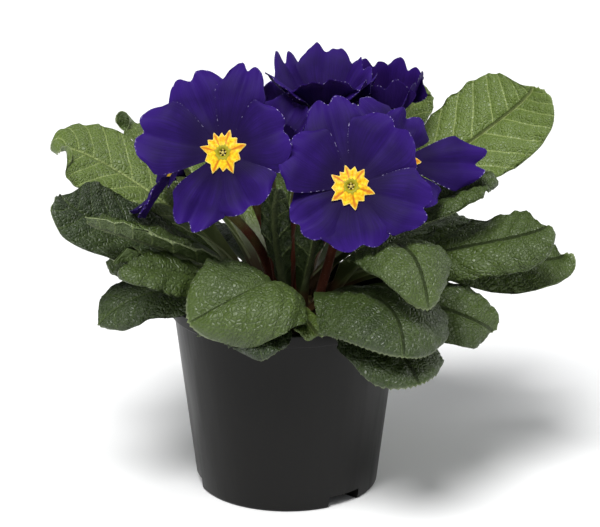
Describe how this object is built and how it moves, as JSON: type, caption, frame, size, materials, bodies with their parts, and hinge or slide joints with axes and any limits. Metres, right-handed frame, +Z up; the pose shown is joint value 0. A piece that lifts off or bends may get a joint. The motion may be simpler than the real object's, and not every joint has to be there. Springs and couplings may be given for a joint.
{
  "type": "potted plant",
  "caption": "Potted primrose: a low rosette of crinkled leaves and violet, yellow-eyed blooms in a small tapered black nursery pot filled with soil",
  "frame": {"origin": "the middle of the pot's underside, on the surface that the pot stands on", "axes": "+Z up through the pot; -Y is the side that the two large open blooms face; +X is to the right, seen from there"},
  "size_m": [0.1993, 0.158, 0.174],
  "materials": {
    "pot_plastic": "satin black",
    "soil": "moist potting compost",
    "crown": "pale green rootstock",
    "leaf": "crinkled, faintly downy green",
    "petal": "velvety blue-violet",
    "eye": "matt yellow with orange rays",
    "stalk": "downy reddish green"
  },
  "bodies": {
    "root": {"pot": "pot_plastic", "soil": "soil", "crown": "crown", "leaf_back_arched": "leaf", "leaf_back_left_arched": "leaf", "leaf_back_left_low": "leaf", "leaf_back_low": "leaf", "leaf_back_right_arched": "leaf", "leaf_back_right_high": "leaf", "leaf_back_right_low": "leaf", "leaf_centre_left": "leaf", "leaf_centre_right": "leaf", "leaf_far_back_left_low": "leaf", "leaf_far_left_low": "leaf", "leaf_front_left": "leaf", "leaf_front_left_low": "leaf", "leaf_front_right": "leaf", "leaf_front_right_high": "leaf", "leaf_front_right_low": "leaf", "leaf_front_small": "leaf", "leaf_left_back": "leaf", "leaf_left_back_low": "leaf", "leaf_left_broad": "leaf", "leaf_left_channel": "leaf", "leaf_left_high": "leaf", "leaf_left_low": "leaf", "leaf_left_rolled": "leaf", "leaf_right_arched": "leaf", "leaf_right_high": "leaf", "leaf_right_inner": "leaf", "leaf_right_level": "leaf", "leaf_right_low": "leaf", "bloom_back_eye": "eye", "bloom_back_petals": "petal", "bloom_back_right_eye": "eye", "bloom_back_right_petals": "petal", "bloom_back_right_stalk": "stalk", "bloom_back_stalk": "stalk", "bloom_far_left_eye": "eye", "bloom_far_left_petals": "petal", "bloom_far_left_stalk": "stalk", "bloom_far_right_eye": "eye", "bloom_far_right_petals": "petal", "bloom_far_right_stalk": "stalk", "bloom_left_eye": "eye", "bloom_left_petals": "petal", "bloom_left_stalk": "stalk", "bloom_middle_eye": "eye", "bloom_middle_petals": "petal", "bloom_middle_stalk": "stalk", "bloom_right_eye": "eye", "bloom_right_petals": "petal", "bloom_right_stalk": "stalk", "bloom_top_eye": "eye", "bloom_top_petals": "petal", "bloom_top_stalk": "stalk"}
  },
  "joints": []
}
